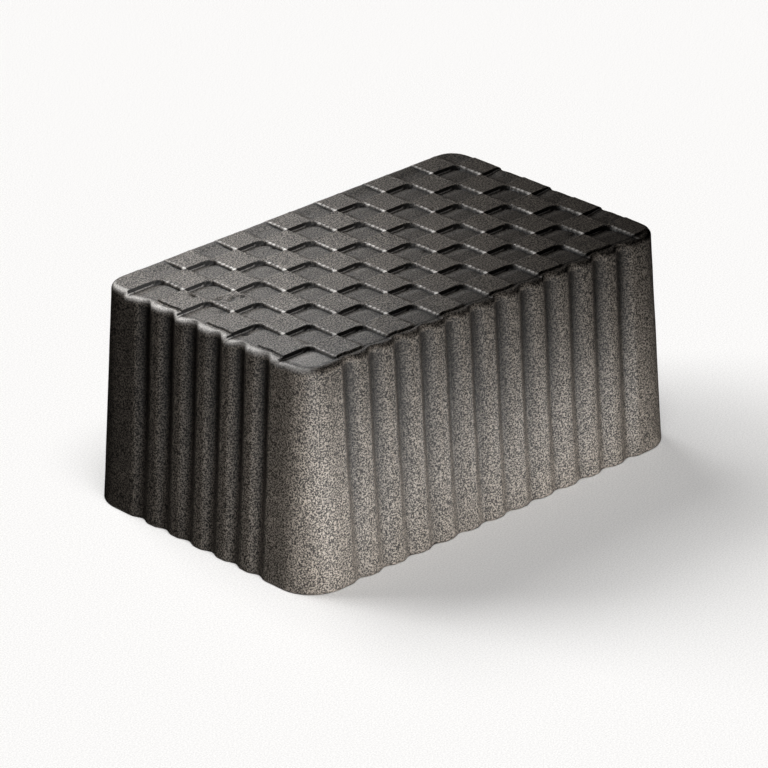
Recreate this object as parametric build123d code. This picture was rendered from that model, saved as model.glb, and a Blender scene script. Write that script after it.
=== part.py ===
"""Moulded charcoal block: a drafted, fluted shell with a basket-weave top, its core and its base layer.

Frame: origin at the centre of the flat base, +X along the length, +Y towards the plain back edge of
the tile field, +Z up. All sizes are in millimetres.
"""

from build123d import *
import os
from math import radians, sqrt, tan

# Outer form: a rounded box that is widest at its flat base.
LENGTH = 37.8
WIDTH = 24.0
HEIGHT = 17.2
DRAFT = 3.5
BASE_CORNER_RADIUS = 3.0
RIM_RADIUS = 0.45

# Flutes: round-bottomed grooves that run up the drafted walls and end in rounded heads.
FLUTE_PITCH = 2.5
FLUTE_RADIUS = 0.85
FLUTE_DEPTH = 0.5
FLUTES_ON_SIDE = 12
FLUTES_ON_END = 6

# Basket weave: a checkerboard of raised and sunken squares on the top face.
TILE_X = 2.5
TILE_Y = 2.65
TILES_ALONG_X = 14
TILES_ALONG_Y = 8
TILE_SINK = 0.3
TILE_CORNER_RADIUS = 0.35
LEFT_RIM = 0.95
FRONT_RIM = 0.8

# Inside: the shell's wall and roof, and the layer that closes the base.
WALL = 1.9
ROOF = 1.6
BASE_LAYER = 1.5

LEAN = tan(radians(DRAFT))
FLOOR_Z = HEIGHT - TILE_SINK
TOP_HALF_LENGTH = LENGTH / 2 - HEIGHT * LEAN
TOP_HALF_WIDTH = WIDTH / 2 - HEIGHT * LEAN
FIELD_LEFT = -TOP_HALF_LENGTH + LEFT_RIM
FIELD_FRONT = -TOP_HALF_WIDTH + FRONT_RIM
BEYOND = 3.0


def drafted_box(inset, bottom, top):
    """A rounded box that leans in at the draft angle, set in from the outer wall by inset."""
    shrink = inset + bottom * LEAN
    outline = RectangleRounded(
        LENGTH - 2 * shrink,
        WIDTH - 2 * shrink,
        BASE_CORNER_RADIUS - shrink,
    )
    return Pos(0, 0, bottom) * extrude(outline, amount=top - bottom, taper=DRAFT)


def is_sunken(column, row):
    """Columns count from the left end and rows from the front side, whose shared corner is sunken."""
    return (column + row) % 2 == 0


def tile_span(column, row):
    """The tile's left, right, front and back edges. Tiles on the border run past the block's edge."""
    left = FIELD_LEFT + column * TILE_X
    right = left + TILE_X
    front = FIELD_FRONT + row * TILE_Y
    back = front + TILE_Y
    if column == 0:
        left -= BEYOND
    if column == TILES_ALONG_X - 1:
        right += BEYOND
    if row == 0:
        front -= BEYOND
    if row == TILES_ALONG_Y - 1:
        back += BEYOND
    return left, right, front, back


def tile_recess(column, row):
    """The space above one sunken square, with rounded corners at its back."""
    left, right, front, back = tile_span(column, row)
    recess = Pos((left + right) / 2, (front + back) / 2, FLOOR_Z) * Box(
        right - left,
        back - front,
        HEIGHT,
        align=(Align.CENTER, Align.CENTER, Align.MIN),
    )
    back_corners = recess.edges().filter_by(Axis.Z).group_by(Axis.Y)[-1]
    return fillet(back_corners, TILE_CORNER_RADIUS)


def rim_step():
    """The low rim outside the tile field, along the left end and the front side."""
    field_depth = TILE_Y * (TILES_ALONG_Y - 1)
    left_strip = Pos(FIELD_LEFT, FIELD_FRONT - BEYOND, FLOOR_Z) * Box(
        BEYOND,
        BEYOND + field_depth,
        HEIGHT,
        align=(Align.MAX, Align.MIN, Align.MIN),
    )
    front_strip = Pos(0, FIELD_FRONT, FLOOR_Z) * Box(
        LENGTH,
        BEYOND,
        HEIGHT,
        align=(Align.CENTER, Align.MAX, Align.MIN),
    )
    return left_strip + front_strip


def flute():
    """One upright flute cutter: a rod with a ball end, whose axis stands outside the wall's face."""
    half_chord = sqrt(FLUTE_RADIUS**2 - (FLUTE_RADIUS - FLUTE_DEPTH) ** 2)
    rod_length = FLOOR_Z - half_chord + BEYOND
    rod = Pos(0, 0, -BEYOND) * Cylinder(
        FLUTE_RADIUS,
        rod_length,
        align=(Align.CENTER, Align.CENTER, Align.MIN),
    )
    ball = Pos(0, 0, rod_length - BEYOND) * Sphere(FLUTE_RADIUS)
    return rod + ball


def flute_row(count, wall_at_base):
    """A row of flutes on the wall that faces -Y and meets the base at y = -wall_at_base."""
    stand_off = FLUTE_RADIUS - FLUTE_DEPTH
    leaning = Pos(0, -wall_at_base - stand_off, 0) * Rot(X=-DRAFT) * flute()
    first = -(count - 1) / 2 * FLUTE_PITCH
    return [Pos(first + place * FLUTE_PITCH, 0, 0) * leaning for place in range(count)]


def all_flutes():
    side = flute_row(FLUTES_ON_SIDE, WIDTH / 2)
    end = flute_row(FLUTES_ON_END, LENGTH / 2)
    cutters = []
    for turn in (0, 180):
        cutters += [Rot(Z=turn) * cutter for cutter in side]
        cutters += [Rot(Z=turn + 90) * cutter for cutter in end]
    return cutters


def outer_block():
    """The whole outer form, solid all through."""
    block = drafted_box(0, 0, HEIGHT)
    block = fillet(block.faces().sort_by(Axis.Z)[-1].edges(), RIM_RADIUS)
    recesses = [rim_step()]
    for column in range(TILES_ALONG_X):
        for row in range(TILES_ALONG_Y):
            if is_sunken(column, row):
                recesses.append(tile_recess(column, row))
    return block - recesses - all_flutes()


def moulded_shell():
    return outer_block() - drafted_box(WALL, 0, FLOOR_Z - ROOF)


def core_fill():
    return drafted_box(WALL, BASE_LAYER, FLOOR_Z - ROOF)


def base_layer():
    return drafted_box(WALL, 0, BASE_LAYER)


os.makedirs("parts", exist_ok=True)
export_step(moulded_shell(), "parts/moulded_shell.step")
export_step(core_fill(), "parts/core_fill.step")
export_step(base_layer(), "parts/base_layer.step")
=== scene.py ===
"""Looks of the moulded charcoal block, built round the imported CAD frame.

Object frame: origin at the centre of the flat base, +X along the length, +Y towards the back side of the
tile field, +Z up. Lengths in this file are in millimetres until a mesh is made, which is in metres.
"""

from math import pi

import bpy
import numpy as np
from mathutils import Matrix, Vector


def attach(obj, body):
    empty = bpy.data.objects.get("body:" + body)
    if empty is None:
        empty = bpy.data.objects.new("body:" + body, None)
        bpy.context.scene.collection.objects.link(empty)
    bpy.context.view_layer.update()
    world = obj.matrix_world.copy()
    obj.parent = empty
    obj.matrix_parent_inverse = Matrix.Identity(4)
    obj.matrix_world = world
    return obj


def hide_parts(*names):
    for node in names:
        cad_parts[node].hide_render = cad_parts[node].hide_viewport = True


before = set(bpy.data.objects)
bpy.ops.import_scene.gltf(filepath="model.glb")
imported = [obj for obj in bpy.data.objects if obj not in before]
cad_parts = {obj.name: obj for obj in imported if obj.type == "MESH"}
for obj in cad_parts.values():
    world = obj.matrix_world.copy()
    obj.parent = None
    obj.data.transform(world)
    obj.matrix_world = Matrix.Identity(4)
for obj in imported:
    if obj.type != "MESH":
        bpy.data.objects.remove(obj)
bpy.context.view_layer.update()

MM = 0.001

# Driving sizes. They repeat the CAD part's.
LENGTH = 37.8
WIDTH = 24.0
HEIGHT = 17.2
LEAN = np.tan(np.radians(3.5))
BASE_CORNER_RADIUS = 3.0
RIM_RADIUS = 0.45
FLUTE_PITCH = 2.5
TILE_X = 2.5
TILE_Y = 2.65
TILES_ALONG_X = 14
TILES_ALONG_Y = 8
TILE_SINK = 0.3
LEFT_RIM = 0.95
FRONT_RIM = 0.8
WALL = 1.9
ROOF = 1.6
BASE_LAYER = 1.5
FLOOR_Z = HEIGHT - TILE_SINK
TOP_HALF_LENGTH = LENGTH / 2 - HEIGHT * LEAN
TOP_HALF_WIDTH = WIDTH / 2 - HEIGHT * LEAN
FIELD_LEFT = -TOP_HALF_LENGTH + LEFT_RIM
FIELD_FRONT = -TOP_HALF_WIDTH + FRONT_RIM


# ---------------------------------------------------------------- small numeric helpers

def smooth(low, high, value):
    """0 below low, 1 above high, and a smooth step between them."""
    t = np.clip((value - low) / (high - low), 0.0, 1.0)
    return t * t * (3.0 - 2.0 * t)


def hashed(ix, iy, iz, seed):
    """A repeatable value from 0 to 1 for each whole-number lattice point."""
    n = ix * 374761393 + iy * 668265263 + iz * 2147483647 + seed * 144665
    n = (n ^ (n >> 13)) * 1274126177
    return ((n ^ (n >> 16)) & 0xFFFF) / 65535.0


def value_noise(x, y, z, size, seed):
    """Smooth noise from -1 to 1 whose lumps are about size across."""
    px, py, pz = x / size, y / size, z / size
    ix, iy, iz = (np.floor(p).astype(np.int64) for p in (px, py, pz))
    fx, fy, fz = (p - i for p, i in ((px, ix), (py, iy), (pz, iz)))
    fx, fy, fz = (f * f * (3.0 - 2.0 * f) for f in (fx, fy, fz))
    total = np.zeros_like(px)
    for dx in (0, 1):
        for dy in (0, 1):
            for dz in (0, 1):
                share = (fx if dx else 1 - fx) * (fy if dy else 1 - fy) * (fz if dz else 1 - fz)
                total = total + share * hashed(ix + dx, iy + dy, iz + dz, seed)
    return total * 2.0 - 1.0


# ---------------------------------------------------------------- the basket weave on top

BEYOND = 9.0             # squares on the border run this far past the block's edge
DEEP = 0.28              # how far a sunken square drops at its back
SHALLOW = 0.13           # and towards its front
DEEP_TO = 0.2            # the distance from its back where it starts to get shallower
SHALLOW_FROM = 1.3
BACK_RISE = 0.85         # how much the floors of the outermost squares rise again at the block's edge
RIGHT_RISE = 0.5
RISE_FROM = 1.7          # measured in from the block's edge
RISE_TO = 0.4
LEFT_STEP = 0.10         # from a raised square down to the low rim on the left
FRONT_STEP = 0.15        # and on the front
STEP_RUN = 0.07
CREST = 0.012            # a lip along a raised square's edge
CREST_WIDTH = 0.1
TOP_SINK = 0.05          # keeps the beads and the cast unevenness below the block's full height

# A square's back, left and front sides fall to a narrow ledge and from there to the floor.
WALL_RUN = 0.05
LEDGE_WIDTH = 0.12
LEDGE_SHARE = 0.78       # the share of the drop above the ledge
FOOT_RUN = 0.045
FOOT = WALL_RUN + LEDGE_WIDTH
FLOOR_EDGE = FOOT + FOOT_RUN
CREASE_WIDTH = 0.035
CREASE_DEPTH = 0.045
BACK_RIGHT_RADIUS = 0.65
BACK_LEFT_RADIUS = 0.22

# Its right side slopes, and carries a row of beads.
SLOPE_RUN = 0.14
SLOPE_CREASE = SLOPE_RUN + 0.03
SLOPE_CREASE_WIDTH = 0.04
CORNER_SHIFT = 0.05
BEADS_PER_TILE = 6
BEAD_SWAY = 0.05
BEAD_HEIGHT = 0.06
BEAD_PLACE = 0.02        # how far outside the edge a bead's middle is
BEAD_WIDTH = 0.09
BEADS_FADE_IN = (0.35, 0.6)

# The square at the front left corner is closed by a fine lip.
LIP_HEIGHT = 0.10
LIP_RUN = (0.10, 0.32)

# How strongly the weave is painted pale and dark: painted highlights on the ledges, beads and rim, a paler
# corner square, and painted shade on the back walls, in the creases, over the floors and in the pits. The
# sums are clipped to the range 0 to 1.
LEDGE_HIGHLIGHT = 0.7
BEAD_HIGHLIGHT = 1.6
CORNER_PALE = 0.25
RIM_HIGHLIGHT = 0.9
LEFT_EDGE_HIGHLIGHT = 0.7
FLOOR_SHADE = 0.42        # sunken floors, growing towards +X
SLOPE_SHADE = 1.3
LEFT_STEP_SHADE = 0.9
FRONT_STEP_SHADE = 0.6
PIT_SHADE = 7.0           # per millimetre of depth

# Small moulding faults: (x, y, radius, depth). Pits are soft-edged, half as wide again as their radius.
PIT_SPREAD = 1.5
CRACK_X, CRACK_Y = -14.62, 4.6
CRACK_HALF_LENGTH, CRACK_HALF_WIDTH = 0.34, 0.07
CRACK_DEPTH = 0.22
CRACK_LEAN = 0.05
PITS = [
    (-16.0, -2.6, 0.14, 0.20),
    (-13.75, 2.7, 0.13, 0.20),
    (-14.9, 1.2, 0.11, 0.14),
    (-13.2, 2.0, 0.13, 0.20),
    (-12.7, 2.2, 0.15, 0.18),
    (-12.2, 1.9, 0.11, 0.18),
    (-10.4, 5.9, 0.10, 0.10),
    (-9.1, -4.8, 0.11, 0.12),
    (-4.6, 6.8, 0.10, 0.10),
    (2.9, -1.4, 0.10, 0.12),
    (8.3, 3.5, 0.11, 0.11),
    (12.6, -6.9, 0.12, 0.13),
]


def bump_at(value, middle, width):
    """1 at the middle value, falling softly to 0 on either side."""
    return np.exp(-((value - middle) / width) ** 2)


def stepped(inside):
    """The share of its drop that a square's side has made at a distance inside the sunken square."""
    wall = smooth(0.0, WALL_RUN, inside)
    last = smooth(FOOT, FLOOR_EDGE, inside)
    return LEDGE_SHARE * wall + (1 - LEDGE_SHARE) * last


def rounded_corner(from_side, from_back, radius):
    """Which points are in a square's rounded back corner, and how far in from its arc they are."""
    in_corner = (from_side < radius) & (from_back < radius)
    return in_corner, radius - np.hypot(radius - from_side, radius - from_back)


class Recess:
    """One sunken square, measured at given points. Every from_ value is a distance in from that side."""

    def __init__(self, x, y, column, row):
        left = FIELD_LEFT + column * TILE_X
        right = left + TILE_X
        front = FIELD_FRONT + row * TILE_Y
        back = front + TILE_Y
        if column == 0:
            left -= BEYOND
        if column == TILES_ALONG_X - 1:
            right += BEYOND
        if row == 0:
            front -= BEYOND
        if row == TILES_ALONG_Y - 1:
            back += BEYOND
        self.x = x
        self.y = y
        self.has_beads = column < TILES_ALONG_X - 1
        self.ripple = np.abs(np.sin((y - FIELD_FRONT) / TILE_Y * BEADS_PER_TILE * pi))
        self.from_right = right - BEAD_SWAY * self.ripple - x
        self.from_front = y - front
        self.from_back = back - y
        from_left = x - left

        steep = np.minimum(from_left, np.minimum(self.from_front, self.from_back))
        in_corner, reach = rounded_corner(from_left, self.from_back, BACK_LEFT_RADIUS)
        steep = np.where(in_corner, np.minimum(steep, reach), steep)
        in_corner, reach = rounded_corner(self.from_right, self.from_back, BACK_RIGHT_RADIUS)
        self.steep = np.where(in_corner, np.minimum(steep, reach), steep)
        shifted = reach + CORNER_SHIFT * (self.from_back > self.from_right)
        self.sloped = np.where(in_corner, shifted, self.from_right)
        self.inside = np.minimum(self.steep, self.sloped)
        nearer_back = np.minimum(from_left, self.from_front) - np.maximum(self.from_back, 0.0)
        self.at_back = smooth(-0.15, 0.05, nearer_back)

    def beads(self):
        """The height of the row of beads along the right side."""
        size = BEAD_HEIGHT * bump_at(self.from_right, -BEAD_PLACE, BEAD_WIDTH) * (1 - self.ripple) ** 0.6
        return size * smooth(*BEADS_FADE_IN, self.from_back) * (self.from_front > 0) * self.has_beads

    def drop(self):
        """How far the surface falls below the raised squares. It is negative on the beads."""
        depth = SHALLOW + (DEEP - SHALLOW) * (1 - smooth(DEEP_TO, SHALLOW_FROM, self.from_back))
        drop = depth * np.minimum(stepped(self.steep), smooth(0.0, SLOPE_RUN, self.sloped))
        crease = CREASE_DEPTH * bump_at(self.steep, FLOOR_EDGE, CREASE_WIDTH)
        drop += crease * (self.sloped > SLOPE_RUN) * self.at_back
        crease = CREASE_DEPTH * bump_at(self.sloped, SLOPE_CREASE, SLOPE_CREASE_WIDTH)
        drop += crease * (self.steep > 0.1)
        return drop - self.beads()

    def pale_and_highlight(self):
        """Painted highlights where edges catch the light: pale on the ledge, the beads and the tip where the
        row of beads ends.
        """
        patchy = 0.6 + 0.55 * value_noise(self.x, self.y, self.x * 0, 0.45, 8)
        clearer = 0.55 + 0.75 * smooth(FIELD_LEFT, FIELD_LEFT + 12, self.x)
        # Painted highlight: a pale line along the ledge, where its rounded edge catches the light.
        ledge = LEDGE_HIGHLIGHT * bump_at(self.steep, WALL_RUN + LEDGE_WIDTH * 0.75, 0.035)
        pale = ledge * (self.sloped > 0.1) * self.at_back
        # Painted highlight: the beads' glints, patchy and stronger towards +X, and a pale spot where the row
        # ends.
        pale += BEAD_HIGHLIGHT * self.beads() / BEAD_HEIGHT * patchy * clearer
        tip = np.hypot(self.from_right, self.from_front - 0.12) < 0.15
        return pale + tip * self.has_beads

    def painted_shade(self):
        """Painted shade: dark on the back wall, which faces away from the light, in the creases and over the
        floor, growing towards +X.
        """
        # Painted shade on the back wall, which faces away from the light, and in the crease at the floor's
        # edge.
        dark = bump_at(self.steep, FLOOR_EDGE, 0.04) * (self.sloped > 0.1)
        dark += (self.steep > -0.03) & (self.steep < WALL_RUN + LEDGE_WIDTH * 0.4)
        dark *= self.at_back
        # Painted shade in the crease at the foot of the beaded slope.
        dark += SLOPE_SHADE * bump_at(self.sloped, SLOPE_RUN + 0.05, 0.09) * (self.steep > 0.1)
        # Painted shade over the sunken floors, growing towards +X where the top falls darker.
        growing = smooth(FIELD_LEFT - 4, FIELD_LEFT + 8, self.x)
        return dark + FLOOR_SHADE * smooth(0.0, 0.1, self.inside) * growing


def weave(x, y):
    """The top surface over the tile field and its low rim: height, painted highlights with a paler corner
    square, and painted shade.
    """
    drop, pale_and_highlight, painted_shade = (np.zeros_like(x) for _ in range(3))
    nearest = np.full_like(x, -BEYOND)
    for column in range(TILES_ALONG_X):
        off_column = np.abs(x - FIELD_LEFT - (column + 0.5) * TILE_X)
        for row in range(column % 2, TILES_ALONG_Y, 2):
            off_row = np.abs(y - FIELD_FRONT - (row + 0.5) * TILE_Y)
            near = (off_column < TILE_X * 1.1) & (off_row < TILE_Y * 1.1)
            if not near.any():
                continue
            square = Recess(x[near], y[near], column, row)
            own = (off_column[near] < TILE_X * 0.56) | (column in (0, TILES_ALONG_X - 1))
            fallen = square.drop()
            drop[near] += np.where(square.inside > 0, fallen, np.minimum(fallen, 0.0) * own)
            pale_and_highlight[near] += square.pale_and_highlight() * own
            painted_shade[near] += square.painted_shade() * (square.inside > -0.03)
            nearest[near] = np.maximum(nearest[near], square.inside)

    last_row = FIELD_FRONT + (TILES_ALONG_Y - 1) * TILE_Y
    left_strip = np.minimum(FIELD_LEFT - x, last_row - y)
    front_strip = FIELD_FRONT - y
    drop = np.maximum(drop, LEFT_STEP * smooth(0.0, STEP_RUN, left_strip))
    drop = np.maximum(drop, FRONT_STEP * smooth(0.0, STEP_RUN, front_strip))
    nearest = np.maximum(nearest, np.maximum(left_strip, front_strip))
    drop *= 1 - BACK_RISE * smooth(TOP_HALF_WIDTH - RISE_FROM, TOP_HALF_WIDTH - RISE_TO, y)
    drop *= 1 - RIGHT_RISE * smooth(TOP_HALF_LENGTH - RISE_FROM, TOP_HALF_LENGTH - RISE_TO, x)
    crest = CREST * bump_at(nearest, -CREST_WIDTH, CREST_WIDTH) * (nearest < 0)
    # Painted shade at the foot of the steps down to the left and front rims.
    painted_shade += LEFT_STEP_SHADE * bump_at(left_strip, 0.04, 0.05)
    painted_shade += FRONT_STEP_SHADE * bump_at(front_strip, 0.04, 0.05)
    # Painted highlight along the top's left edge, where the rim catches the light.
    pale_and_highlight += LEFT_EDGE_HIGHLIGHT * smooth(TOP_HALF_LENGTH - 0.68, TOP_HALF_LENGTH - 0.48, -x)

    from_edge = corner_distance(x, y)
    in_corner = (x < FIELD_LEFT + TILE_X) & (y < FIELD_FRONT + TILE_Y)
    drop -= in_corner * LIP_HEIGHT * (1 - smooth(*LIP_RUN, from_edge))
    # Painted shade in the crease under the corner's lip.
    painted_shade += in_corner * bump_at(from_edge, 0.24, 0.09)
    # Paler over the corner square beyond its lip, in place of the other pale marks there.
    pale_and_highlight = np.where(in_corner, CORNER_PALE * smooth(0.3, 0.4, from_edge), pale_and_highlight)
    return HEIGHT - TOP_SINK - drop + crest, pale_and_highlight, painted_shade


def corner_distance(x, y):
    """How far a point lies in from the top's outline at the front left corner."""
    radius = BASE_CORNER_RADIUS - HEIGHT * LEAN - RIM_RADIUS
    in_x = x + TOP_HALF_LENGTH - RIM_RADIUS
    in_y = y + TOP_HALF_WIDTH - RIM_RADIUS
    arc = radius - np.hypot(radius - in_x, radius - in_y)
    return np.where((in_x < radius) & (in_y < radius), arc, np.minimum(in_x, in_y))


def faults(x, y):
    """Pits and one short crack at the edge of a raised square."""
    depth = np.zeros_like(x)
    for px, py, radius, deep in PITS:
        away = np.hypot(x - px, y - py) / (PIT_SPREAD * radius)
        depth += deep * np.exp(-away ** 2)
    along = (y - CRACK_Y) / CRACK_HALF_LENGTH
    across = (x - CRACK_X - CRACK_LEAN * along) / CRACK_HALF_WIDTH
    depth += CRACK_DEPTH * np.exp(-across ** 2) * np.exp(-along ** 4)
    return depth


def line_places(start, pitch, count, low, high, between, near):
    """Grid lines from low to high: evenly spaced ones, and closer ones at each tile edge."""
    places = [low, high]
    for k in range(count + 1):
        edge = start + k * pitch
        places += [edge + offset for offset in near]
        if k < count:
            gap_low, gap_high = edge + near[-1], edge + pitch + near[0]
            steps = int(round((gap_high - gap_low) / between))
            places += list(np.linspace(gap_low, gap_high, steps + 1)[1:-1])
    places = np.unique(np.round([p for p in places if low <= p <= high], 4))
    keep = [places[0]]
    for p in places[1:-1]:
        if p - keep[-1] > 0.028 and places[-1] - p > 0.03:
            keep.append(p)
    return np.array(keep + [places[-1]])


def into_rounded(x, y, half_x, half_y, radius):
    """Bends a rectangle's square corners on to round ones of that radius."""
    s = np.clip((np.abs(x) - (half_x - radius)) / radius, 0, 1)
    t = np.clip((np.abs(y) - (half_y - radius)) / radius, 0, 1)
    corner = (s > 0) & (t > 0)
    bent_x = np.sign(x) * (half_x - radius + radius * s * np.sqrt(1 - t * t / 2))
    bent_y = np.sign(y) * (half_y - radius + radius * t * np.sqrt(1 - s * s / 2))
    return np.where(corner, bent_x, x), np.where(corner, bent_y, y)


# ---------------------------------------------------------------- the fluted wall

FLUTES_ON_SIDE = 12
FLUTES_ON_END = 6
FLUTE_WIDTH = 2.0
FLUTE_DEPTH = 0.52
FLUTE_DEPTH_AT_BASE = 0.30
# Painted shade in the flutes' bottoms, stronger higher up the wall.
FLUTE_SHADE = 0.88                 # how much darker the flutes are at their bottoms
HEAD_TOP_NEAR = HEIGHT + 0.4      # on the front side and left end the heads cut through the rim
HEAD_TOP_FAR = HEIGHT - 0.1       # on the back side and right end they stop below it


def flute_sink(along, z, count, head_top):
    """How deep the flutes cut at a point whose place along its side is along. Their heads are round."""
    place = np.clip(np.round(along / FLUTE_PITCH - 0.5), -count / 2, count / 2 - 1) + 0.5
    across = along - place * FLUTE_PITCH
    head = head_top - FLUTE_WIDTH / 2
    away = np.hypot(across, np.maximum(0.0, z - head))
    depth = FLUTE_DEPTH_AT_BASE + (FLUTE_DEPTH - FLUTE_DEPTH_AT_BASE) * smooth(0.0, 9.0, z)
    profile = 0.5 * (1 + np.cos(pi * np.clip(away / (FLUTE_WIDTH / 2), 0, 1)))
    return depth * profile


def mesh_object(name, points, faces):
    """A smooth-shaded object from points in millimetres."""
    mesh = bpy.data.meshes.new(name)
    mesh.from_pydata([tuple(p) for p in points * MM], [], faces)
    mesh.validate()
    mesh.update()
    mesh.polygons.foreach_set("use_smooth", [True] * len(mesh.polygons))
    made = bpy.data.objects.new(name, mesh)
    bpy.context.scene.collection.objects.link(made)
    return made


def paint(made, name, values):
    """Keeps one number from 0 to 1 at each vertex, for the material to read."""
    layer = made.data.attributes.new(name, "FLOAT", "POINT")
    layer.data.foreach_set("value", np.clip(values, 0, 1).astype(np.float32))


def grid_faces(index):
    """Quads over a 2-D table of vertex numbers."""
    a, b, c, d = index[:-1, :-1], index[1:, :-1], index[1:, 1:], index[:-1, 1:]
    return np.stack([a, b, c, d], -1).reshape(-1, 4)


def border(table):
    """The table's border values in order, counter-clockwise from the low corner."""
    return np.concatenate([table[:, 0], table[-1, 1:], table[-2::-1, -1], table[0, -2:0:-1]])


def outward(x, y, half_x, half_y, radius):
    """Unit normals of a rounded rectangle at points on its outline."""
    nx = np.clip((np.abs(x) - (half_x - radius)) / radius, 0, 1) * np.sign(x)
    ny = np.clip((np.abs(y) - (half_y - radius)) / radius, 0, 1) * np.sign(y)
    size = np.maximum(np.hypot(nx, ny), 1e-9)
    return nx / size, ny / size


class RingMesh:
    """A closed mesh that grows ring by ring outwards from the border of a grid of points."""

    def __init__(self, grid, loop, faces):
        self.points = [grid.reshape(-1, 3)]
        self.faces = [faces]
        self.ring = loop
        self.total = grid.size // 3

    def add(self, points):
        """Joins a new ring, with as many points as the one before it, to that one."""
        ring = np.arange(self.total, self.total + len(points))
        corners = [self.ring, ring, np.roll(ring, -1), np.roll(self.ring, -1)]
        self.faces.append(np.stack(corners, -1))
        self.points.append(points)
        self.ring = ring
        self.total += len(points)

    def finish(self, name):
        """Closes the last ring with one face and makes the object."""
        polygons = [tuple(int(v) for v in face) for face in np.concatenate(self.faces)]
        polygons.append(tuple(int(v) for v in self.ring[::-1]))
        return mesh_object(name, np.concatenate(self.points), polygons)


# Grid lines of the top near each tile edge, as distances from it. They follow the ledge, slope and beads.
NEAR_COLUMN_EDGE = (-0.35, -0.28, -0.22, -0.16, -0.10, -0.05, 0.0, 0.05, 0.17, 0.23)
NEAR_ROW_EDGE = (-0.28, -0.215, -0.17, -0.11, -0.05, 0.0, 0.05, 0.17, 0.23)
COLUMN_SPACING = 0.26
ROW_SPACING = 0.092
OVERLAP = 0.03           # how far the top's grid runs on to the rim

RIM_ANGLES = (22, 44, 66, 86)
# Shares of the painted highlight on each of the rim's rings.
RIM_HIGHLIGHT_SHARES = (1.0, 0.6, 0.15, 0.0)
RIM_SPREAD = 0.985       # the share of its radius that the rim has turned out at its last angle
WALL_HEIGHTS = np.concatenate([
    np.linspace(HEIGHT - RIM_RADIUS - 0.12, HEIGHT - 2.2, 12),
    np.linspace(HEIGHT - 3.2, 0.9, 10),
    np.array([0.45, 0.22, 0.10]),
])
RELIEF_REACH = 1.1       # how far down the wall the top's relief is still felt
# (height, distance in from the wall) of the rings that turn under the base and close the cavity.
BASE_EDGE = ((0.03, 0.05), (0.0, 0.16))
CAVITY = ((0.0, 0.9), (0.0, WALL - 0.06), (0.05, WALL), (8.0, WALL), (FLOOR_Z - ROOF, WALL))


def build_shell():
    """The whole moulded skin as one closed mesh: weave, rim, fluted wall, base ring and cavity."""
    half_x = TOP_HALF_LENGTH - RIM_RADIUS + OVERLAP
    half_y = TOP_HALF_WIDTH - RIM_RADIUS + OVERLAP
    radius = BASE_CORNER_RADIUS - HEIGHT * LEAN - RIM_RADIUS + OVERLAP
    xs = line_places(FIELD_LEFT, TILE_X, TILES_ALONG_X, -half_x, half_x, COLUMN_SPACING, NEAR_COLUMN_EDGE)
    ys = line_places(FIELD_FRONT, TILE_Y, TILES_ALONG_Y, -half_y, half_y, ROW_SPACING, NEAR_ROW_EDGE)
    gx, gy = np.meshgrid(xs, ys, indexing="ij")
    gx, gy = into_rounded(gx, gy, half_x, half_y, radius)
    gz, pale_and_highlight, painted_shade = weave(gx, gy)
    pitted = faults(gx, gy)
    gz = gz - pitted
    # Painted shade in the pits and the crack, deeper ones darker.
    painted_shade = np.clip(painted_shade + PIT_SHADE * pitted, 0, 1)
    bx, by = border(gx), border(gy)
    gx, gy = scalloped(gx, gy, half_x, half_y, radius)
    gz += 0.020 * value_noise(gx, gy, gz * 0, 2.3, 3) + 0.008 * value_noise(gx, gy, gz * 0, 0.35, 5)
    bz = border(gz)
    nx, ny = outward(bx, by, half_x, half_y, radius)
    count = len(bx)
    index = np.arange(gx.size).reshape(gx.shape)
    skin = RingMesh(np.stack([gx, gy, gz], -1), border(index), grid_faces(index))

    facing_left = np.clip((np.abs(bx) - (half_x - radius)) / radius, 0, 1) * -np.sign(bx)
    ring_highlight, ring_painted_shade = [], []
    # Painted highlight along the rim's rounding at the left end, strongest at its top where it catches the
    # light.
    for angle, share in zip(np.radians(RIM_ANGLES), RIM_HIGHLIGHT_SHARES):
        out = RIM_RADIUS * np.sin(angle)
        z = bz - RIM_RADIUS * (1 - np.cos(angle))
        skin.add(wall_points(bx + nx * out, by + ny * out, z, nx, ny))
        ring_highlight.append(RIM_HIGHLIGHT * smooth(0.3, 0.9, facing_left) * share)
        ring_painted_shade.append(np.zeros(count))

    rim_out = RIM_RADIUS * RIM_SPREAD
    rim_foot = HEIGHT - RIM_RADIUS
    for height in WALL_HEIGHTS:
        z = height + (bz - HEIGHT) * smooth(rim_foot - RELIEF_REACH, rim_foot - 0.02, height)
        out = rim_out + (rim_foot - height) * LEAN
        skin.add(wall_points(bx + nx * out, by + ny * out, z, nx, ny))
        # Painted shade in the flute bottoms, darker higher up the wall.
        share = wall_sink(bx, by, height, nx, ny) / FLUTE_DEPTH
        ring_highlight.append(np.zeros(count))
        ring_painted_shade.append(FLUTE_SHADE * share * (0.45 + 0.55 * smooth(2.0, 14.0, height)))

    base_out = rim_out + rim_foot * LEAN
    for height, inset in BASE_EDGE:
        out = base_out - inset
        skin.add(wall_points(bx + nx * out, by + ny * out, np.full(count, height), nx, ny))
    for height, inset in CAVITY:
        out = base_out - inset - height * LEAN
        skin.add(np.stack([bx + nx * out, by + ny * out, np.full(count, height)], -1))
    made = skin.finish("charcoal_skin")
    unshaded = np.zeros(count * (len(BASE_EDGE) + len(CAVITY)))
    # Painted highlights and painted shade, kept for the material.
    paint(made, "pale_and_highlight", np.concatenate([pale_and_highlight.ravel(), *ring_highlight, unshaded]))
    paint(made, "painted_shade", np.concatenate([painted_shade.ravel(), *ring_painted_shade, unshaded]))
    return made


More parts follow.
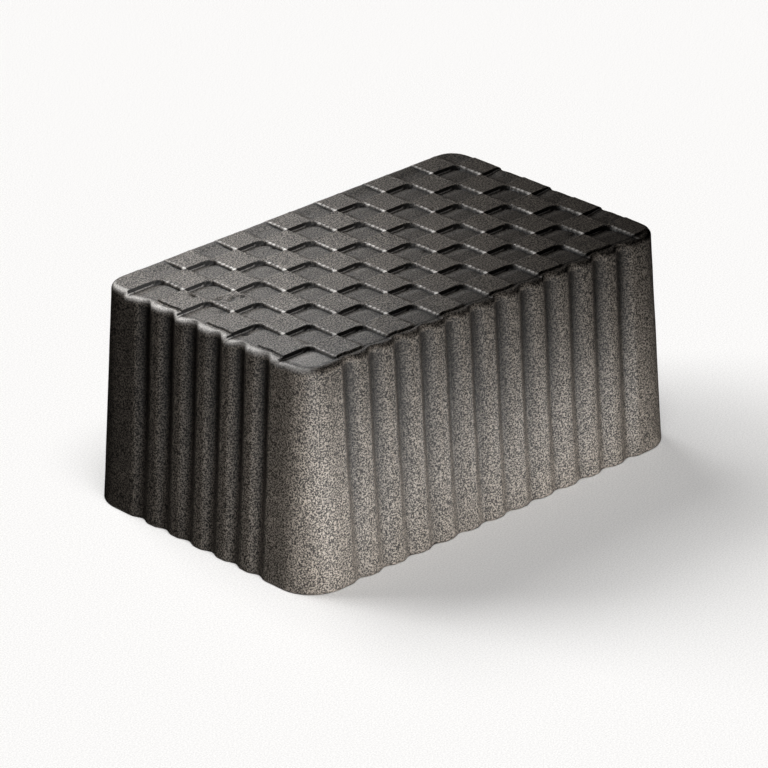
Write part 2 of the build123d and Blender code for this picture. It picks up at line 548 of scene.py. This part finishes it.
def wall_sink(x, y, z, nx, ny):
    """How deep the flutes cut at points of the wall."""
    on_side = np.abs(ny) > 0.999
    on_end = np.abs(nx) > 0.999
    side_head = np.where(ny < 0, HEAD_TOP_NEAR, HEAD_TOP_FAR)
    end_head = np.where(nx < 0, HEAD_TOP_NEAR, HEAD_TOP_FAR)
    sink = np.where(on_side, flute_sink(x, z, FLUTES_ON_SIDE, side_head), 0.0)
    return np.where(on_end, flute_sink(y, z, FLUTES_ON_END, end_head), sink)


def wall_points(x, y, z, nx, ny):
    """Wall points sunk along their normals by the flutes, with a slight cast unevenness."""
    sink = wall_sink(x, y, z, nx, ny)
    uneven = 0.022 * value_noise(x, y, z, 3.1, 11) + 0.008 * value_noise(x, y, z, 0.5, 12) - 0.02
    push = uneven - sink
    return np.stack([x + nx * push, y + ny * push, z], -1)


def scalloped(x, y, half_x, half_y, radius):
    """Draws the edge of the top in where the flutes' heads reach it, fading out over a millimetre."""
    for sign, head_top in ((-1, HEAD_TOP_NEAR), (1, HEAD_TOP_FAR)):
        edge = 1 - smooth(0.0, 1.0, half_y - sign * y)
        sink = flute_sink(x, HEIGHT, FLUTES_ON_SIDE, head_top)
        y = y - sign * edge * sink * (np.abs(x) < half_x - radius)
        edge = 1 - smooth(0.0, 1.0, half_x - sign * x)
        sink = flute_sink(y, HEIGHT, FLUTES_ON_END, head_top)
        x = x - sign * edge * sink * (np.abs(y) < half_y - radius)
    return x, y


# The base plate's scraped face.
PLATE_GAP = 0.03         # between the plate and the cavity's wall
PLATE_EDGE = 0.12
PINHOLES = 26


def build_base_plate():
    """The closing layer: a plate scraped flat along its length, with soft edges and a few pinholes."""
    half_x = LENGTH / 2 - WALL - PLATE_GAP - PLATE_EDGE
    half_y = WIDTH / 2 - WALL - PLATE_GAP - PLATE_EDGE
    radius = BASE_CORNER_RADIUS - WALL - PLATE_EDGE
    gx, gy = np.meshgrid(
        np.linspace(-half_x, half_x, 150),
        np.linspace(-half_y, half_y, 110),
        indexing="ij",
    )
    gx, gy = into_rounded(gx, gy, half_x, half_y, radius)
    scrape = 0.5 + 0.5 * value_noise(gx * 0.05, gy, gx * 0, 0.55, 21)
    dips = 0.5 + 0.5 * value_noise(gx, gy, gx * 0, 4.5, 22)
    gz = 0.01 + 0.035 * scrape + 0.05 * dips
    for hole in range(PINHOLES):
        along, across, grown = (
            hashed(np.int64(hole), np.int64(k + 1), np.int64(0), 31 + k) for k in range(3)
        )
        px = (along - 0.5) * 2 * (half_x + PLATE_EDGE - 1)
        py = (across - 0.5) * 2 * (half_y + PLATE_EDGE - 1)
        size = 0.18 + 0.22 * grown
        gz += 0.75 * size * np.exp(-((gx - px) ** 2 + (gy - py) ** 2) / size ** 2)

    # The scraped face looks down, so the grid's faces and its border loop run the other way round.
    index = np.arange(gx.size).reshape(gx.shape)
    bx, by, bz = border(gx)[::-1], border(gy)[::-1], border(gz)[::-1]
    nx, ny = outward(bx, by, half_x, half_y, radius)
    plate = RingMesh(np.stack([gx, gy, gz], -1), border(index)[::-1], grid_faces(index)[:, ::-1])
    level = np.ones(len(bx))
    rings = (
        (bz + 0.03, 0.08),
        (0.15 * level, PLATE_EDGE),
        (BASE_LAYER * level, PLATE_EDGE - BASE_LAYER * LEAN),
    )
    for height, out in rings:
        plate.add(np.stack([bx + nx * out, by + ny * out, height], -1))
    return plate.finish("base_plate")


# ---------------------------------------------------------------- materials

def new_material(name):
    """An empty material with one shader: the material, its node tree and the shader."""
    material = bpy.data.materials.new(name)
    material.use_nodes = True
    tree = material.node_tree
    tree.nodes.clear()
    output = tree.nodes.new("ShaderNodeOutputMaterial")
    shader = tree.nodes.new("ShaderNodeBsdfPrincipled")
    tree.links.new(shader.outputs[0], output.inputs[0])
    return material, tree, shader


def noise_node(tree, where, size_mm, detail=2.0, roughness=0.6):
    """Noise whose lumps are about size_mm across."""
    node = tree.nodes.new("ShaderNodeTexNoise")
    node.inputs["Scale"].default_value = 1.0 / (size_mm * MM)
    node.inputs["Detail"].default_value = detail
    node.inputs["Roughness"].default_value = roughness
    tree.links.new(where, node.inputs["Vector"])
    return node.outputs["Fac"]


def vertex_value(tree, name):
    """The number that paint() kept under that name."""
    node = tree.nodes.new("ShaderNodeAttribute")
    node.attribute_name = name
    return node.outputs["Fac"]


def ramp_node(tree, factor, stops):
    """A colour ramp through (place, colour) stops."""
    node = tree.nodes.new("ShaderNodeValToRGB")
    tree.links.new(factor, node.inputs[0])
    elements = node.color_ramp.elements
    while len(elements) < len(stops):
        elements.new(0.5)
    for element, (place, colour) in zip(elements, stops):
        element.position = place
        element.color = (*colour, 1.0)
    return node.outputs[0]


def grey(level, warmth=0.15):
    """A grey that leans a little towards brown."""
    return (level * (1 + warmth), level, level * (1 - warmth))


def mix_colours(tree, factor, a, b, blend="MIX"):
    """Colour b over colour a. The factor is a number or a socket."""
    node = tree.nodes.new("ShaderNodeMix")
    node.data_type = "RGBA"
    node.blend_type = blend
    if isinstance(factor, float):
        node.inputs[0].default_value = factor
    else:
        tree.links.new(factor, node.inputs[0])
    tree.links.new(a, node.inputs[6])
    tree.links.new(b, node.inputs[7])
    return node.outputs[2]


MOTTLE_MM = 1.9          # size of the soft patches
ROUGHER = 0.15           # how much rougher the dark grains are than the middle ones
SMOOTHER = 0.08          # and how much smoother the pale ones are


def charcoal_material(name, shades, grain_mm, roughness, specular, bump_mm):
    """Grainy charcoal: dark and pale powder grains, soft mottling, an uneven sheen and a fine bump.
    It takes a pale colour for the painted highlights and the paler corner square, and near black for the
    painted shade."""
    dark, middle, pale = shades
    material, tree, shader = new_material(name)
    place = tree.nodes.new("ShaderNodeTexCoord").outputs["Object"]
    grain = noise_node(tree, place, grain_mm, detail=2.0, roughness=0.7)
    mottle = noise_node(tree, place, MOTTLE_MM, detail=4.0, roughness=0.6)
    grains = ramp_node(tree, grain, [(0.41, grey(dark)), (0.5, grey(middle)), (0.59, grey(pale))])
    patches = ramp_node(tree, mottle, [(0.3, grey(0.78, 0.0)), (0.7, grey(1.0, 0.0))])
    colour = mix_colours(tree, 1.0, grains, patches, "MULTIPLY")
    # Pale colour for the painted highlights, near black for the painted shade.
    pale_highlight_colour = ramp_node(tree, grain, [(0.3, grey(0.30, 0.04)), (0.6, grey(0.9, 0.04))])
    shade_colour = ramp_node(tree, grain, [(0.4, grey(0.002)), (0.7, grey(0.012))])
    colour = mix_colours(tree, vertex_value(tree, "pale_and_highlight"), colour, pale_highlight_colour)
    colour = mix_colours(tree, vertex_value(tree, "painted_shade"), colour, shade_colour)
    tree.links.new(colour, shader.inputs["Base Color"])
    rough = tree.nodes.new("ShaderNodeMapRange")
    rough.inputs["From Min"].default_value = 0.35
    rough.inputs["From Max"].default_value = 0.65
    rough.inputs["To Min"].default_value = roughness + ROUGHER
    rough.inputs["To Max"].default_value = roughness - SMOOTHER
    tree.links.new(grain, rough.inputs["Value"])
    tree.links.new(rough.outputs[0], shader.inputs["Roughness"])
    shader.inputs["Specular IOR Level"].default_value = specular
    bump = tree.nodes.new("ShaderNodeBump")
    bump.inputs["Strength"].default_value = 1.0
    bump.inputs["Distance"].default_value = bump_mm * MM
    tree.links.new(grain, bump.inputs["Height"])
    tree.links.new(bump.outputs[0], shader.inputs["Normal"])
    return material


def floor_material():
    """Plain pale paper."""
    material, tree, shader = new_material("pale_floor")
    place = tree.nodes.new("ShaderNodeTexCoord").outputs["Object"]
    tooth = noise_node(tree, place, 0.12, detail=2.0)
    tree.links.new(ramp_node(tree, tooth, [(0.35, grey(0.80, 0.01)), (0.65, grey(0.97, 0.01))]),
                   shader.inputs["Base Color"])
    shader.inputs["Roughness"].default_value = 0.9
    shader.inputs["Specular IOR Level"].default_value = 0.1
    return material


# ---------------------------------------------------------------- build

skin = build_shell()
skin.data.materials.append(charcoal_material(
    "pressed_charcoal", shades=(0.006, 0.066, 0.205), grain_mm=0.115, roughness=0.45, specular=0.25,
    bump_mm=0.014,
))
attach(skin, "root")
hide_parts("moulded_shell")

plate = build_base_plate()
plate.data.materials.append(charcoal_material(
    "base_charcoal", shades=(0.012, 0.05, 0.13), grain_mm=0.18, roughness=0.6, specular=0.3, bump_mm=0.02,
))
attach(plate, "root")
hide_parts("base_layer")

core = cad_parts["core_fill"]
core.data.materials.clear()
core.data.materials.append(charcoal_material(
    "core_charcoal", shades=(0.010, 0.035, 0.09), grain_mm=0.30, roughness=0.75, specular=0.3, bump_mm=0.05,
))


# ---------------------------------------------------------------- floor, camera and lights

def plain_floor(size):
    """A flat square floor of that size in metres, its top at z 0. It throws no light back on to the block."""
    points = np.array([(-1, -1, 0), (1, -1, 0), (1, 1, 0), (-1, 1, 0)], float) * size / 2 / MM
    floor = mesh_object("floor", points, [(0, 1, 2, 3)])
    floor.data.materials.append(floor_material())
    floor.visible_diffuse = False
    floor.visible_glossy = False
    return floor


def group(name, *objects):
    """A collection that lights are linked to."""
    made = bpy.data.collections.new(name)
    for one in objects:
        made.objects.link(one)
    return made


def aim(lamp, towards_lamp):
    """Turns a lamp to shine against the direction that leads to it."""
    lamp.rotation_mode = "QUATERNION"
    lamp.rotation_quaternion = Vector(towards_lamp).to_track_quat("Z", "Y")


def light_only(lamp, receivers):
    """The lamp lights only these, and only the block casts its shadow."""
    lamp.light_linking.receiver_collection = receivers
    lamp.light_linking.blocker_collection = block_group


def softbox(name, place, towards_lamp, width, height, watts):
    """A rectangular softbox for the block alone, at place in millimetres."""
    data = bpy.data.lights.new(name, "AREA")
    data.shape = "RECTANGLE"
    data.size = width * MM
    data.size_y = height * MM
    data.energy = watts
    lamp = bpy.data.objects.new(name, data)
    bpy.context.scene.collection.objects.link(lamp)
    lamp.location = Vector(place) * MM
    lamp.visible_camera = False
    aim(lamp, towards_lamp)
    light_only(lamp, block_group)


def floor_wash(name, azimuth, elevation, softness, strength):
    """A broad even light for the floor, from degrees round from +X and up from the floor."""
    data = bpy.data.lights.new(name, "SUN")
    data.angle = np.radians(softness)
    data.energy = strength
    lamp = bpy.data.objects.new(name, data)
    bpy.context.scene.collection.objects.link(lamp)
    turn, rise = np.radians(azimuth), np.radians(elevation)
    aim(lamp, (np.cos(turn) * np.cos(rise), np.sin(turn) * np.cos(rise), np.sin(rise)))
    light_only(lamp, floor_group)


floor = plain_floor(6.0)
block_group = group("block_lights", skin, plate, core)
floor_group = group("floor_lights", floor)

camera_data = bpy.data.cameras.new("camera")
camera_data.lens = 238.7
camera_data.sensor_width = 36.0
camera_data.clip_start = 0.01
camera_data.clip_end = 20.0
camera = bpy.data.objects.new("camera", camera_data)
bpy.context.scene.collection.objects.link(camera)
camera.location = (-0.2337, -0.2453, 0.1681)
look = Vector((0.6226, 0.6538, -0.4299))
roll = Matrix.Rotation(np.radians(-0.42), 4, "Z").to_quaternion()
camera.rotation_mode = "QUATERNION"
camera.rotation_quaternion = look.to_track_quat("-Z", "Y") @ roll
bpy.context.scene.camera = camera

# The white surround is only a backdrop: all of the light comes from the lamps.
world = bpy.data.worlds.new("studio")
world.use_nodes = True
world.node_tree.nodes["Background"].inputs[0].default_value = (0.96, 0.96, 0.95, 1.0)
world.node_tree.nodes["Background"].inputs[1].default_value = 1.0
world.cycles_visibility.diffuse = False
world.cycles_visibility.glossy = False
bpy.context.scene.world = world
bpy.context.scene.view_settings.view_transform = "Standard"

# Softboxes: place in millimetres, direction towards the lamp, width and height in millimetres, watts.
# The floor blocks none of their light, so the ones at or below floor level stand in for its bounce.
softbox("back_right_key", (24.6, 42.6, 42.4), (0.41, 0.71, 0.57), 20, 20, 0.0060)
softbox("back_key", (12.7, 47.5, 42.4), (0.21, 0.79, 0.57), 12, 12, 0.0030)
softbox("rim_glint", (-6.3, 51.6, 38.0), (-0.11, 0.86, 0.50), 12, 12, 0.0040)
softbox("overhead_left", (-15, 5, 34), (0, 0.05, 1), 12, 12, 0.0025)
softbox("overhead_middle", (-2, 5, 34), (0, 0.05, 1), 12, 12, 0.0017)
softbox("left_fill", (-54.5, -14.6, -12.5), (-0.91, -0.24, -0.34), 20, 20, 0.0034)
softbox("corner_strip", (-20.5, -16.0, 8.0), (-0.30, -0.95, 0.0), 2, 15, 0.00035)
softbox("front_low_left", (-14, -32, 0.5), (0, -1, 0), 20, 6, 0.0065)
softbox("front_low_middle", (-12, -24, 0.5), (0, -1, 0), 20, 6, 0.0008)
softbox("front_low_right", (10, -24, 0.5), (0, -1, 0), 20, 6, 0.0038)
softbox("corner_low", (-27, -21, 4.5), (-0.7, -0.7, 0), 14, 6, 0.0009)
softbox("corner_left", (-34, -30, 9), (-0.75, -0.65, 0), 8, 14, 0.0022)
softbox("corner_high", (-24, -28, 13), (-0.3, -0.95, 0), 5, 8, 0.0013)
# Suns for the floor: degrees round, degrees up, softness in degrees, strength.
floor_wash("wash_left_back", 120, 30, 30, 1.96)
floor_wash("wash_back", 90, 50, 30, 1.145)
floor_wash("wash_front", 240, 70, 30, 1.63)
